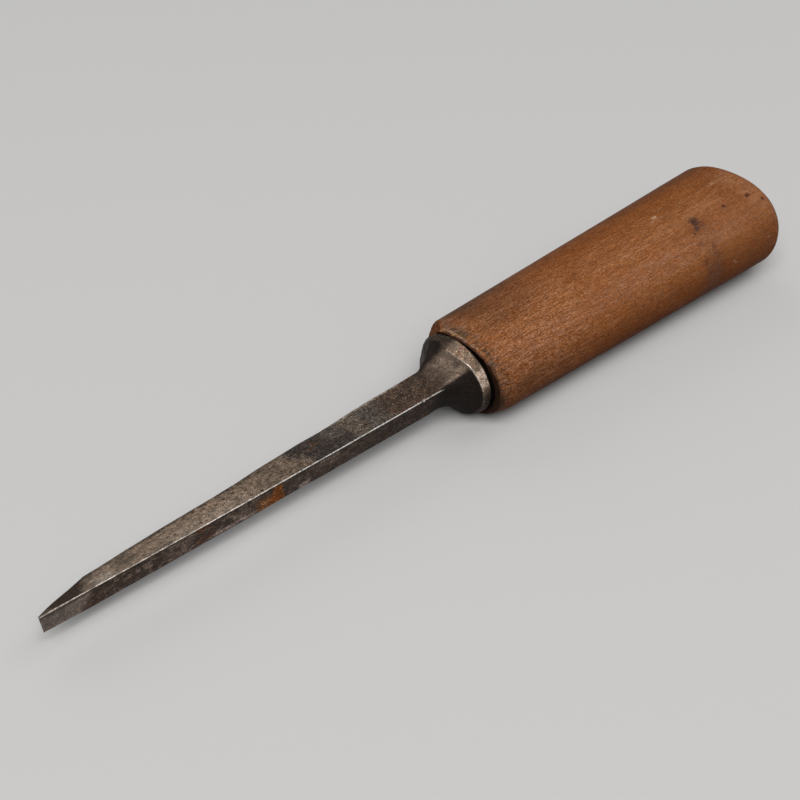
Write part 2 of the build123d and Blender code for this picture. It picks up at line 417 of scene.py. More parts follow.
def ground(rings, d):
    """Grinds the outer faces towards the cutting edge, as the CAD does."""
    for wing, other, lanes, (at_keel, at_wing, angle) in GROUND_FACES:
        start = on_face(wing, at_keel, 0)
        hinge = on_face(wing, at_wing, 1) - start
        hinge /= np.linalg.norm(hinge)
        out = np.cross(hinge, start - on_face(wing, 0, 0))
        out /= np.linalg.norm(out)
        inward = wings(np.array(BLADE_LENGTH - at_wing))[other]
        if out[1] * inward[0] + out[2] * inward[1] > 0:
            out = -out
        level = out * math.cos(math.radians(angle))
        lift = np.cross(hinge, out) * math.sin(math.radians(angle))
        normal = level + lift if level[0] + lift[0] <= 0 else level - lift
        over = np.maximum((rings - start) @ normal, 0)
        over *= (d > BLADE_LENGTH - max(at_keel, at_wing)) * lanes
        rings = rings - over[..., None] * normal
    return rings


# Corner angles of the shank and of the rim, and how far out the rim's facets are
SQUARE_CORNERS = SHANK_ROLL + np.array([-225, -135, -45, 45, 135, 225])
RIM_CORNERS = np.array([-198, -132, -27.9, 62.1, 162, 228])
RIM_FACETS = (9, 8.9, 8.55, 9.7)
RIM_CLEAR = 0.15
RIM_LOW = 0.75
RIM_LEFT = 0.55
RIM_AHEAD = 2
RIM_AHEAD_TOP = 1.1
RIM_FRONT = 0.18
RIM_STEP = 0.1
BAND_BACK = 0.35
BAND_BULGE = 0.12
FLARE_ROWS = 45
RIM_ROWS = 4
BAND_ROWS = 12
BACK_STEPS = (0.3, 0.65, 1)
SEAT_ROWS = 8
TANG_ROWS = 11


def facing(angle, centre):
    """1 where an angle is at the centre, down to 0 a quarter of a turn away."""
    return np.maximum(np.cos(np.radians(angle - centre)), 0)


def flare_rings(last_ring):
    """From the square shank to the bolster's rim, its seat and the tang."""
    y = last_ring[:, 1]
    z = last_ring[:, 2]
    angle = np.degrees(np.arctan2(y, -z))
    way = turned_down(angle)
    square = 1 / 2 / np.abs(way).max(-1)
    shank = np.hypot(y, z)
    below = facing(angle, -5)
    growth = 1.6 + 1.5 * below
    front_at = RIM_AHEAD + RIM_AHEAD_TOP * facing(angle, -160) ** 1.5
    widest = BOLSTER_RADIUS - RIM_CLEAR - RIM_LOW * below - RIM_LEFT * facing(angle, 95)
    rows = []

    def put(d, r, lean):
        yz = way * np.asarray(r)[..., None]
        x = -d - lean * (SEAT_LEAN * yz[..., 1] + SEAT_SWING * yz[..., 0])
        rows.append(np.concatenate([np.asarray(x)[..., None], yz], -1))

    def flared(u):
        n = 2.9 + 12.7 * (1 - u) ** 3
        corners = mix(SQUARE_CORNERS, RIM_CORNERS, u ** 0.7)
        quarter = np.radians(np.interp(angle, corners, SQUARE_CORNERS) - SHANK_ROLL)
        c = np.cos(quarter)
        s = np.sin(quarter)
        h1 = mix(SHANK_SIDE / 2, np.where(c > 0, RIM_FACETS[0], RIM_FACETS[2]), u ** growth)
        h2 = mix(SHANK_SIDE / 2, np.where(s > 0, RIM_FACETS[1], RIM_FACETS[3]), u ** growth)
        r = ((np.abs(c) / h1) ** n + (np.abs(s) / h2) ** n) ** (-1 / n)
        return np.minimum(mix(shank, r, ease(u, 0, 0.35)), widest)

    for u in steps(FLARE_ROWS):
        put(mix(FLARE_START, front_at, u), flared(u), u)
    edge = flared(1)
    for t in steps(RIM_ROWS):
        put(front_at - RIM_FRONT * t, edge + RIM_STEP * t, 1)
    for t in steps(BAND_ROWS):
        bulge = BAND_BULGE * np.sin(np.pi * t)
        r = mix(edge + RIM_STEP, BOLSTER_RADIUS, t) + bulge * (1 - t)
        put(mix(front_at - RIM_FRONT, BAND_BACK, t), r, 1)
    for t in BACK_STEPS:
        put(BAND_BACK * (1 - t), BOLSTER_RADIUS - BAND_BACK * t ** 2, 1)
    for t in steps(SEAT_ROWS):
        put(0, mix(BOLSTER_RADIUS - BAND_BACK, TANG_ROOT * square, t), 1)
    for t in steps(TANG_ROWS):
        put(-TANG_LENGTH * t, mix(TANG_ROOT, TANG_END, t) * square, 1 - t)
    return np.array(rows)


# Colours, as linear RGB in thousandths
TAN = (265, 190, 134)
DULL_TAN = (160, 117, 84)
CHANNEL_TAN = (112, 81.9, 58.8)
OLIVE = (100, 75, 48)
PALE_STEEL = (380, 305, 240)
BLUE_SKIN = (62, 48, 41)
GREY_SKIN = (106, 85, 70)
BROWN_SKIN = (72, 48, 34)
BEVEL_BROWN = (32.4, 18, 10.2)
KEEL_TIP_PAINTED_SHADOW = (43.2, 24, 13.6)
DARK_SKIN = (82, 55, 41)
SHANK_DARK = (36, 25, 20)
SPOT_DARK = (28.8, 20, 16)
KEEL_PAINTED_SHADOW = (21.6, 15, 12)
SHANK_PALE = (112, 78, 61)
MOTTLE = (185, 130, 100)
PATCH_MOTTLE = (240.5, 169, 130)
PALE_MOTTLE = (277.5, 195, 150)
PALE_SKIN = (300, 225, 190)
WORN_EDGE = (480, 360, 304)
WORN_SPOT = (510, 382.5, 323)
HONED = (166, 121, 97)
HONED_TIP = (139.44, 101.64, 81.48)
HONED_START = (207.5, 151.25, 121.25)
EDGE_BROWN = (60, 44, 32)
RUST = (340, 104, 24)
RUST_BROWN = (340, 155, 62)
RUST_SKIN = (105, 62, 40)
RED_RUST = (120, 47, 26)
RED_PATCH = (150, 58.75, 32.5)
PATCH_CORE = (238, 72.8, 16.8)
OLD_RUST = (100, 50, 27)
SHANK_RUST = (110, 55, 29.7)
FLARE_DARK = (12, 8, 6)
FLARE_MOTTLE = (19.2, 12.8, 9.6)
FLARE_LEFT = (20, 14, 11)
FLARE_TOP = (228, 166.25, 123.5)
# The band's colours are painted light and shade: light where it faces the light, dark elsewhere.
BAND = (255, 185, 128)
BAND_DARK = (40, 26, 18)
BAND_MOTTLE = (80, 52, 36)
BAND_RUST = (235, 125, 85)
BAND_PALE = (800, 600, 470)
RIM_DIM = (200, 160, 130)
# Near-white colours of the keel, a nick and the rim edge: worn steel, painted bright as
# highlights.
KEEL_BRIGHT = (860, 760, 670)
KEEL_SHINE = (928.8, 820.8, 723.6)
KEEL_WHITE = (920, 860, 800)


# Each coat says where it goes in d and v, which part noise leaves it, and how much it
# covers there.
def steel_map(rings, rim):
    """What the coats share: parts of the blade, places and noise."""
    at = SimpleNamespace(rings=rings, rim=rim, d=-rings[..., 0])
    at.v = SHARE + 0 * at.d
    at.rows = np.arange(len(rings))[:, None] + 0 * at.d
    far = (CORNER == FAR_EDGE) + 0 * at.d
    at.far = np.where(KEEL_ARC, 0.5, far)
    at.near = (OUTER_NEAR | ((CORNER == NEAR_EDGE) & ON_ARC)) + 0 * at.d
    at.inside = 1 - np.clip(at.far + at.near + KEEL_ARC, 0, 1)
    at.big = noise(rings, 5, 21)
    at.mid = noise(rings, (2.2, 1.3, 1.3), 22)
    at.fine = noise(rings, (0.8, 0.5, 0.5), 23, 2)
    at.dw = at.d + 0.9 * at.big + 0.7 * at.mid
    at.vw = at.v + 0.1 * at.mid + 0.07 * at.fine
    at.turn = np.degrees(np.arctan2(rings[..., 1], -rings[..., 2]))
    at.wrap = np.where(at.turn > 90, at.turn - 360, at.turn) + 4 * at.mid
    at.flare = ease(at.rows, rim - 52, rim - 30)
    at.band = ease(at.rows, rim - 2, rim + 1)
    # The side of the rim that faces the light, painted lighter.
    at.lit = ease(facing(at.turn + 5 * at.mid + 3 * at.fine, -134), 0.66, 0.84)
    return at


def paint_far_face(p, at):
    """Tan skin, then blue and brown towards the shank; gives where it is blue."""
    d, v, dw, vw, big, mid, fine = at.d, at.v, at.dw, at.vw, at.big, at.mid, at.fine
    coat = p.within(at.far)
    coat(1, TAN, 0.5, 0.6)
    coat(ease(0.9 * mid + 0.5 * big, 0.1, 0.6) * ease(dw, 80, 84) * 0.45, OLIVE)
    coat(ease(fine + 0.8 * mid + 0.3 * big, 0.15, 0.75) * 0.4, OLIVE)
    coat(zone(dw, 60, 83, 5) * fall(vw, 0.25, 0.7) * 0.35, PALE_STEEL, 0.45)
    coat(ease(vw, 0.78, 1) * 0.75, EDGE_BROWN, 0.6)
    coat(zone(dw, 95.8, 99.8, 0.8) * fall(vw, 0.4, 0.6) * 0.8, PALE_STEEL, 0.42)
    coat(zone(dw, 90, 93.5, 1) * zone(vw, 0.35, 0.9, 0.12) * 0.55, OLIVE)
    coat(fall(dw, 57, 62) * 0.45, DULL_TAN)
    # the tan ends along a ragged line that slants back to the keel
    tan_end = 45 + 4.4 * ease(v, 0.1, 0.85)
    fade = ease(tan_end - d + 1.5 * mid + 1.6 * fine + 0.6 * big, -1.1, 1.5)
    blue = fade * ease(dw, 38.7, 40.1)
    blue = np.maximum(blue, zone(dw, 33.6, 41, 0.7) * fall(vw, 0.38, 0.56))
    coat(fade, GREY_SKIN, 0.52, 0.5)
    coat(zone(dw, 29.4, 34.6, 0.8) * 0.5, DULL_TAN)
    coat(blue, BLUE_SKIN, 0.48, 0.5)
    rusty = zone(dw, 40.6, 46.6, 0.8) * zone(vw, 0.55, 0.92, 0.1)
    coat(rusty * ease(fine + 0.7 * mid, -0.1, 0.45) * 0.7, OLD_RUST, 0.8, 0.1)
    coat(fall(dw, 21, 26), BROWN_SKIN, 0.58, 0.35)
    rusty = fall(dw, 22, 24) * ease(fine + 0.4 * mid, 0.1, 0.5)
    coat(rusty * 0.65, SHANK_RUST, 0.8, 0.1)
    past_bevel = d - (103.6 - 3.8 * vw + 0.8 * mid)
    coat(ease(past_bevel, -5, 0.8) * 0.55, EDGE_BROWN, 0.55, 0.4)
    bevel = ease(past_bevel, -0.9, 1.1) * (1 - 0.55 * ease(d, 109.2, 111.2))
    coat(bevel, BEVEL_BROWN, 0.62, 0.15)
    return blue


def paint_near_face(p, at):
    """Dark skin with pale mottling and rust, and a painted shadow line along the keel; gives
    where the tip is honed.
    """
    d, v, dw, vw, mid, fine = at.d, at.v, at.dw, at.vw, at.mid, at.fine
    coat = p.within(at.near)
    coat(ease(mid + 0.8 * fine, 0.05, 0.75) * ease(dw, 30, 46), MOTTLE, 0.62)
    coat(ease(0.7 * fine - mid, 0.1, 0.7) * 0.5, RUST_SKIN, 0.75)
    coat(fall(dw, 20, 40) * 0.8, SHANK_DARK, 0.7)
    pale = zone(dw, 12, 52, 4) * ease(fine + 0.8 * mid, -0.05, 0.5)
    coat(pale * 0.75, SHANK_PALE, 0.65)
    behind_tip = fall(d, 97, 101)
    pale = ease(dw, 60, 66) * ease(0.8 * mid + 0.9 * fine, 0.05, 0.45)
    coat(pale * behind_tip * 0.7, PALE_MOTTLE, 0.6)
    dark = ease(dw, 58, 64) * ease(0.5 * fine - 0.9 * mid, 0.1, 0.5)
    coat(dark * behind_tip * 0.6, SPOT_DARK, 0.7)
    pale = np.maximum(zone(dw, 76.5, 83, 1.2), 0.7 * zone(dw, 60.5, 66, 1))
    coat(pale * ease(fine + 0.3 * mid, -0.7, 0.2) * 0.65, PATCH_MOTTLE, 0.6)
    rusty = zone(dw, 10, 26, 3) * ease(mid - 0.5 * fine, 0.15, 0.6)
    coat(rusty * 0.5, RED_RUST, 0.75)
    # dark red patch
    red = zone(dw + 1.5 * v, 73, 77, 0.5) * fall(vw, 0.72, 0.9)
    red *= ease(fine + 0.8 * mid, -0.15, 0.4)
    red = np.maximum(red, 0.5 * zone(dw, 71, 74, 0.6) * ease(fine, -0.2, 0.4))
    coat(red, RED_PATCH, 0.8, 0.1)
    red *= zone(dw, 73.6, 76.4, 0.5) * ease(fine - 0.3 * mid, -0.5, 0.3)
    coat(red * 0.8, PATCH_CORE, 0.85, 0)
    # pale wear along the edge and in spots
    pale = zone(dw, 60.8, 71.5, 0.8) * zone(v + 0.04 * mid, 0.76, 0.95, 0.04)
    coat(pale * ease(fine + 0.6 * mid, -1.1, 0), WORN_EDGE, 0.5)
    pale = zone(dw, 39, 44.2, 0.9) * fall(vw, 0.45, 0.65)
    coat(pale * ease(fine + mid, -0.7, 0.2) * 0.9, MOTTLE, 0.62)
    pale = zone(dw, 45.9, 49, 0.5) * ease(vw, 0.58, 0.78)
    coat(pale * ease(fine, -0.7, 0.1) * 0.8, WORN_SPOT, 0.5)
    # orange rust, brown towards the edge
    ahead = ease(d - (54.8 - 2.2 * v + 0.5 * fine + 0.35 * mid), 0, 0.4)
    rusty = ahead * fall(dw, 58.5, 61.5)
    brown = ease(vw + 0.5 * ease(57 - d, 0, 1.5), 0.18, 0.5)
    coat(rusty * ease(mid + fine, -1.3, -0.2) * brown, RUST_BROWN, 0.8, 0.1)
    coat(ahead * fall(dw - 1.2 * v, 55.2, 56.8), RUST, 0.85, 0)
    coat(rusty * ease(fine + 0.4 * mid, 0.05, 0.5) * 0.6, RED_RUST)
    # Painted shadow: a thin dark line along the keel on the near face.
    keel_shadow_line = fall(v, 0.03, 0.1) * ease(d, 12, 20) * fall(d, 104, 108)
    coat(keel_shadow_line * 0.8, KEEL_PAINTED_SHADOW)
    # honed tip
    honed = ease(d - (101.4 + 2.2 * v + 1.2 * mid + 0.5 * fine), -1.2, 1.4)
    coat(zone(dw, 97.5, 103, 1.2) * ease(vw, 0.1, 0.5) * 0.7, RUST_SKIN, 0.7)
    coat(honed, HONED_TIP, 0.36, 0.6)
    coat(honed * fall(d, 103.5, 108), HONED_START)
    # The painted shadow line along the keel, over the honed tip.
    coat(honed * zone(v, 0.02, 0.14, 0.03) * 0.85, KEEL_TIP_PAINTED_SHADOW)
    coat(zone(v, 0.94, 1, 0.03) * ease(d, 100, 104) * 0.4, PALE_SKIN, 0.4)
    return honed


def paint_bolster(p, at):
    """Black flare with its top facet painted lighter, as lit, and worn near the rim; the mottled
    band round the rim is painted light where it faces the light and dark on its shaded side.
    """
    mid, fine, rows, rim = at.mid, at.fine, at.rows, at.rim
    to_rim = np.clip((rows - rim + 45) / 45, 0, 1) ** 0.7
    # Painted light: the top facet, where the light falls, is lighter than the rest of the flare.
    top = ease(at.wrap - mix(-208, -180, to_rim), -8, 10)
    top_end = mix(SQUARE_CORNERS[1], RIM_CORNERS[1], to_rim)
    top *= fall(at.wrap - top_end, -4, 3)
    coat = p.within(at.flare)
    coat(1, FLARE_DARK, 0.75, 0)
    coat(ease(mid + 0.7 * fine, -0.2, 0.7) * 0.6, FLARE_MOTTLE, 0.7)
    coat(ease(facing(at.turn, 118), 0.2, 0.7), FLARE_LEFT, 0.7, 0.1)
    coat(top, BROWN_SKIN, 0.5, 0.5)
    # Worn mottling on the top facet near the rim, over its painted light.
    worn = ease(rows, rim - 34, rim - 8)
    coat(top * worn * ease(mid + 0.5 * fine, -0.7, 0.3), FLARE_TOP, 0.42, 0.6)
    # Painted light and shade on the band: light where it faces the light, dark on its shaded
    # side.
    coat = p.within(at.band)
    coat(1, BAND_DARK, 0.6, 0.3)
    coat(at.lit, BAND, 0.42, 0.6)
    coat(at.lit * ease(fine + mid, 0, 0.5) * 0.7, BAND_RUST, 0.7, 0.2)
    pale = zone(at.wrap, -128, -101, 5)
    coat(pale * ease(mid + fine, -0.9, 0), BAND_PALE, 0.5, 0.2)
    coat((1 - at.lit) * ease(fine + 0.5 * mid, -0.1, 0.5) * 0.6, BAND_MOTTLE, 0.6)


def paint_wear_and_highlights(p, at):
    """Bright wear on the keel, the far edge and the rim, painted brighter still as highlights on
    the keel, at a nick and on the rim's lit edge; gives the keel's line.
    """
    d, mid, fine, rows, rim = at.d, at.mid, at.fine, at.rows, at.rim
    # The worn keel, painted near white as a highlight along it.
    arris = KEEL_ARC * ease(np.sin(np.pi * ALONG), 0.2, 0.6)
    keel = arris * fall(rows, rim - 44, rim - 32)
    broken = ease(noise(at.rings, (1.4, 9, 9), 27, 2), -0.5, 0.1)
    keel *= 0.72 + 0.28 * broken
    p.coat(keel * (1 - 0.55 * ease(d, 101, 108)), KEEL_SHINE, 0.27, 0.6)
    p.coat(keel * fall(d, 48, 66), KEEL_WHITE, 0.26, 1)
    # Worn steel at a nick, painted bright as a glint.
    worn_nick_glint = fall(at.v + 0.025 * at.far, 0.03, 0.07) * peak(d, 14.6, 0.32)
    p.coat((at.far + at.near) * worn_nick_glint, KEEL_BRIGHT, 0.35, 0.8)
    # Worn rim edge, painted bright as a highlight where it faces the light, dimmer lower down.
    rim_line = zone(rows, rim - 0.5, rim + 2.5, 0.8)
    coat = p.within(rim_line * ease(fine + mid, -0.7, 0.3))
    near_part = ease(facing(at.turn, -121), 0.86, 0.98)
    low_part = ease(at.wrap, -112, -98) * fall(at.wrap, -40, -20)
    coat(low_part * (1 - near_part) * 0.8, RIM_DIM, 0.45, 0.5)
    coat(np.maximum(0.35 * at.lit, near_part), KEEL_BRIGHT, 0.34, 0.8)
    far_arris = ease(at.v - 0.02 * fine, 0.955, 0.99) * zone(at.dw, 17, 34, 2)
    p.coat(at.far * far_arris * 0.6, PALE_STEEL, 0.4, 0.6)
    return keel


def paint_steel(rings, rim):
    """Patina, rust and wear, with painted light and shade on the keel, the bolster and its rim;
    the layers say how strong pits, flecks and calm are.
    """
    at = steel_map(rings, rim)
    p = Paint(at.d.shape, DARK_SKIN, 0.72, 0.1)
    blue = paint_far_face(p, at)
    honed = paint_near_face(p, at)
    paint_bolster(p, at)
    coat = p.within(at.inside)
    coat(ease(at.dw, 40, 60), CHANNEL_TAN, 0.5, 0.5)
    coat(ease(at.mid + 0.5 * at.big, 0, 0.5), DARK_SKIN, 0.6, 0.4)
    coat(ease(at.big - 0.3 * at.mid, 0.35, 0.7), OLD_RUST, 0.8, 0.1)
    coat(ease(at.d, 105, 110), HONED, 0.35, 0.6)
    keel = paint_wear_and_highlights(p, at)
    far_flecks = at.far * fall(at.dw, 45, 54) * (1 - 0.5 * blue)
    near_flecks = at.near * mix(1, 0.75, ease(at.d, 74, 80)) * (1 - 0.75 * honed)
    flecks = (far_flecks + near_flecks + 0.4 * at.band) * (1 - keel)
    flecks *= 1 - 0.45 * at.flare * (1 - at.band)
    pits = at.far * (0.35 + 0.65 * zone(at.dw, 47, 84, 3))
    pits *= 1 - 0.6 * ease(at.d, 94, 100)
    pits = np.maximum(pits, 0.55 * at.near * (1 - honed))
    pits = np.maximum(pits, 0.8 * at.band) * (1 - keel)
    return p.tint, {"rough": p.rough, "metal": p.metal, "pits": pits, "flecks": flecks,
                    "calm": 0.4 * at.flare}


# Relief of the steel, in mm
FORGED_DEPTH = 0.035
PITTED_DEPTH = 0.02
FLARE_SWELL = 0.08
BAND_BUMPS = 0.1
KEEL_RIPPLE = 0.12
NICKS = ((14.7, 0.34), (31.5, 0.08), (57.9, 0.07), (83, 0.08), (101.2, 0.06))
NICK_WIDTH = 0.42


def steel_relief(rings, rim):
    d = -rings[..., 0]
    rows = np.arange(len(rings))[:, None]
    relief = FORGED_DEPTH * noise(rings, (3, 1.6, 1.6), 11, 4)
    relief += PITTED_DEPTH * np.minimum(noise(rings, 0.55, 12, 2), 0.1)
    swell = FLARE_SWELL * noise(rings, 5, 13, 2)
    relief += swell * ease(rows, rim - 40, rim - 10)
    bumps = BAND_BUMPS * noise(rings, (1.6, 1.3, 1.3), 14, 2)
    relief += bumps * ease(rows, rim - 3, rim + 3)
    nicks = np.minimum(noise(rings, (0.8, 6, 6), 15, 2) + 0.35, 0) * KEEL_RIPPLE
    nicks *= ease(d, 8, 14)
    for at, deep in NICKS:
        nicks -= deep * peak(d, at, NICK_WIDTH)
    relief += nicks * KEEL_ARC
    seat_row = rim + RIM_ROWS + BAND_ROWS + len(BACK_STEPS)
    return relief * (ease(rows, 0, 20) * (rows < seat_row))


def blade_caps(last):
    """Faces over the blade's front edge and the tang's end."""
    count = len(PLAN)
    near_end = int(np.argmax(CORNER == NEAR_EDGE))
    near_in = int(np.argmax((CORNER == NEAR_RIM) & ~ON_ARC))
    far_in = int(np.argmax(CORNER == FAR_RIM))
    outer = [j % count for j in range(near_end - 1, -1, -1)]
    outer += [count - 1 - j for j in range(FACE_POINTS)]
    caps = [[(last, j) for j in range(count)]]
    for k in range(len(outer) - 1):
        caps.append([(0, outer[k]), (0, outer[k + 1]), (0, near_in + k + 1), (0, near_in + k)])
    caps.append([(0, j) for j in range(near_end - 1, near_in + 1)])
    caps.append([(0, j) for j in range(far_in - 1, count - FACE_POINTS + 1)])
    return caps


def blade():
    fore, d = blade_rings()
    fore = ground(fore, d)
    rings = np.concatenate([fore, flare_rings(fore[-1])])
    rim = len(fore) + FLARE_ROWS
    rings = rings + grid_normals(rings) * steel_relief(rings, rim)[..., None]
    tint, layers = paint_steel(rings, rim)
    return build("steel_blade", rings, blade_caps(len(rings) - 1), tint, layers)


# ---- handle
AROUND = 320
ANGLES = (np.arange(AROUND) + 0.5) * 2 * math.pi / AROUND
COS = np.cos(ANGLES)
SIN = np.sin(ANGLES)
SOCKET_ROWS = 10
FRONT_ROWS = 33
FRONT_STEPS = (0.25, 0.55, 0.85)
SIDE_ROWS = 300
BUTT_ROWS = 25
END_STEPS = 30
RIM_ROW = SOCKET_ROWS + FRONT_ROWS
SIDE_ROW = RIM_ROW + len(FRONT_STEPS)


def around(centre):
    """Degrees from a centre angle, the short way round, for each lane."""
    return (np.degrees(ANGLES) - centre + 180) % 360 - 180


def arc(centre, low, high, soft):
    return zone(around(centre), low, high, soft)


def spot(x, at, long, turn, wide):
    """1 at a place, fading over mm along the handle and degrees round it."""
    return np.exp(-((x - at) / long) ** 2 - (around(turn) / wide) ** 2)


def oval(x, inset=0):
    """The handle's oval section at x, as y and z of each lane."""
    t = x / HANDLE_LENGTH
    wide = mix(FRONT_HALF_WIDTH, BUTT_HALF_WIDTH, t) - inset
    high = mix(FRONT_HALF_HEIGHT, BUTT_HALF_HEIGHT, t) - inset
    power = 2 / SECTION_FULLNESS
    return (wide * np.abs(COS) ** power * np.sign(COS),
            high * np.abs(SIN) ** power * np.sign(SIN))


def seat_at(y, z):
    return -SEAT_LEAN * z - SEAT_SWING * y


def handle_rings():
    """From the end of the tang's socket over the front and the side to the butt."""
    rows = []

    def put(x, y, z):
        rows.append(np.stack(np.broadcast_arrays(x, y, z), -1))

    half = TANG_ROOT / 2 + TANG_CLEARANCE
    end_half = TANG_END / 2 + TANG_CLEARANCE
    square = 1 / np.maximum(np.abs(COS), np.abs(SIN))
    socket_y = COS * square
    socket_z = SIN * square
    for t in np.linspace(1, 0, SOCKET_ROWS):
        y = socket_y * mix(half, end_half, t)
        z = socket_z * mix(half, end_half, t)
        put(mix(seat_at(y, z), TANG_LENGTH + SOCKET_SPARE, t), y, z)
    rim_y, rim_z = oval(0, FRONT_ROUNDING)
    for t in steps(FRONT_ROWS):
        y = mix(socket_y * half, rim_y, t)
        z = mix(socket_z * half, rim_z, t)
        put(seat_at(y, z), y, z)
    start = seat_at(*oval(0))
    for t in FRONT_STEPS:
        lean = math.pi / 2 * t
        x = start + FRONT_ROUNDING * (1 - math.cos(lean))
        put(x, *oval(x, FRONT_ROUNDING * (1 - math.sin(lean))))
    flat = HANDLE_LENGTH - BUTT_ROUNDING
    for t in np.linspace(0, 1, SIDE_ROWS):
        x = mix(start + FRONT_ROUNDING, flat, t)
        put(x, *oval(x))
    for t in steps(BUTT_ROWS):
        lean = math.pi / 2 * t
        x = flat + BUTT_ROUNDING * math.sin(lean)
        put(x, *oval(x, BUTT_ROUNDING * (1 - math.cos(lean))))
    end_y, end_z = rows[-1][:, 1], rows[-1][:, 2]
    for t in np.linspace(1, 0, END_STEPS)[1:-1]:
        put(HANDLE_LENGTH, end_y * t, end_z * t)
    return np.array(rows)


WOOD = (262, 93, 29)
WOOD_RED = (195, 63, 19)
WOOD_PALE = (340, 145, 62)
WOOD_SHADE = (187, 50, 5)
WOOD_PAINTED_SHEEN = (285, 120, 62)
WOOD_UNDER = (150, 34, 3)
WOOD_FRONT = (275, 106, 40)
CHIP_PALE = (420, 250, 130)
END_GRAIN = (20, 8.5, 3.5)
END_GRAIN_RIM = (34, 14.45, 5.95)
GROOVE_PAINTED_SHADOW = (2.4, 1.02, 0.42)
YEAR_RING = (107.25, 34.65, 10.45)
GRIME = (100, 56, 31)
GRIME_OLIVE = (90, 56, 30)
RIM_BROWN = (28, 13.3, 7)
SMUDGE = (45, 22, 20)
STAIN = (130, 55, 33)
HOLE_BROWN = (55, 22, 13)
# Marks on the wood. Pale scratches: angle, width, start and end along x
SCRATCHES = ((90.4, 0.5, 77, 97), (92.6, 0.4, 63, 73))
# The rest: x, mm along, angle and degrees round; chips and smudges then how dark
CHIPS = ((68.1, 1.3, 90, 1.1), (90.8, 0.7, 90, 1.1))
SMUDGES = ((75, 1.9, 113, 3.6, 0.75), (74.5, 1.2, 117.5, 3.6, 0.75),
           (73.5, 1, 123.5, 3.8, 0.8), (72, 0.5, 126.5, 1.4, 0.85),
           (75.3, 1.5, 121.5, 5, 0.3), (71.4, 1.4, 139, 4, 0.25))
RIM_GRIME = ((0.9, 1.3, 124, 8), (1, 1.3, 91, 8), (0.5, 0.8, 138, 5))
PALE_SPECKS = ((62.6, 0.45, 200.5, 1.5), (81.4, 0.4, 178, 1.2),
               (82.1, 0.4, 180.6, 1), (94.8, 0.5, 172.5, 0.9))
# Worm holes: x, angle and mm across; drips: x, middle angle and reach
HOLES = ((85.8, 116.3, 0.6), (94.4, 119.4, 0.95), (97.6, 130.5, 0.6))
HOLE_DEPTH = 0.3
DRIPS = ((75.2, 153, 12), (71.1, 161, 7))
# Middle of the growth rings on the butt, as y and z, and how close they are
PITH = (-31, 12)
RING_RATE = 3.2


def wood_map(rings):
    """What the coats share: places, and noise along the grain."""
    at = SimpleNamespace(rings=rings, x=rings[..., 0])
    at.rows = np.arange(len(rings))[:, None] + 0 * at.x
    at.off_axis = np.hypot(rings[..., 1], rings[..., 2])
    at.long_grain = noise(rings, (26, 2.6, 2.6), 41)
    at.cloud = noise(rings, (9, 6, 6), 42)
    at.torn = noise(rings, (0.9, 0.9, 0.9), 43)
    at.fibre = noise(rings, (3, 0.45, 0.45), 44)
    return at


def paint_body(p, at):
    """Reddish wood, worn pale in patches, with painted shade on the far side and underneath and a
    painted sheen along the upper near side.
    """
    x, cloud, torn, fibre = at.x, at.cloud, at.torn, at.fibre
    p.coat(ease(at.long_grain, 0, 0.6) * 0.35, WOOD_RED)
    p.coat(ease(-at.long_grain, 0.1, 0.6) * 0.3, WOOD_PALE)
    p.coat(ease(cloud, 0.1, 0.7) * 0.35, WOOD_RED)
    p.coat(ease(-cloud - 0.4 * at.long_grain, 0.1, 0.7) * 0.25, WOOD_PALE)
    # Painted shade: the far side of the handle darker, back from the front rim.
    p.coat(fall(around(104), -38, 2) * 0.75 * ease(x, 2, 6), WOOD_SHADE, 0.6)
    # Painted shade: the lower half of the handle browner and darker.
    p.coat(ease(around(182), -30, 14) * 0.8, WOOD_UNDER, 0.75)
    # Painted sheen: a paler, less saturated band along the upper near side.
    p.coat(arc(142, -14, 12, 8) * 0.35, WOOD_PAINTED_SHEEN, 0.42)
    for angle, width, start, stop in SCRATCHES:
        line = peak(around(angle) + 0.35 * cloud, 0, width) * zone(x, start, stop, 1.5)
        p.coat(line * ease(fibre + torn, -0.4, 0.5) * 0.7, CHIP_PALE, 0.5)
    for chip in CHIPS:
        p.coat(ease(spot(x, *chip) + 0.2 * torn, 0.3, 0.8) * 0.85, CHIP_PALE)
    p.coat(ease(x, 80, 99) * 0.65, WOOD_RED)
    butt_rim = ease(x + 0.7 * torn, 91, 95) * arc(118, -34, 34, 10)
    p.coat(butt_rim * mix(0.3, 0.6, ease(fibre + torn, -0.5, 0.5)), WOOD_PALE, 0.55)
    p.coat(fall(x, 12, 42) * 0.45, WOOD_FRONT)
    # Darker along the far side and underneath as painted shade, and near the front end; the last
    # term is a stain band.
    dark = sum(along * across for along, across in (
        (0.24 * zone(x, 6, 25, 5), arc(70, -60, 34, 9)),
        (0.26 * (1 - 0.5 * zone(x, 30, 58, 12)), arc(30, -60, 34, 8)),
        (0.18 * zone(x, 4, 13, 3), 1 - arc(122, -18, 20, 8)),
        (0.26 * zone(x, 6, 22, 4), arc(200, -32, 60, 10)),
        (0.3, arc(250, -48, 60, 12)),
        (0.13 * zone(x + 0.6 * cloud, 71.5, 78.5, 1.5), arc(165, -55, 45, 10))))
    p.tint *= (1 - dark * ease(cloud + 0.5 * at.long_grain, -1.2, 0.3))[..., None]


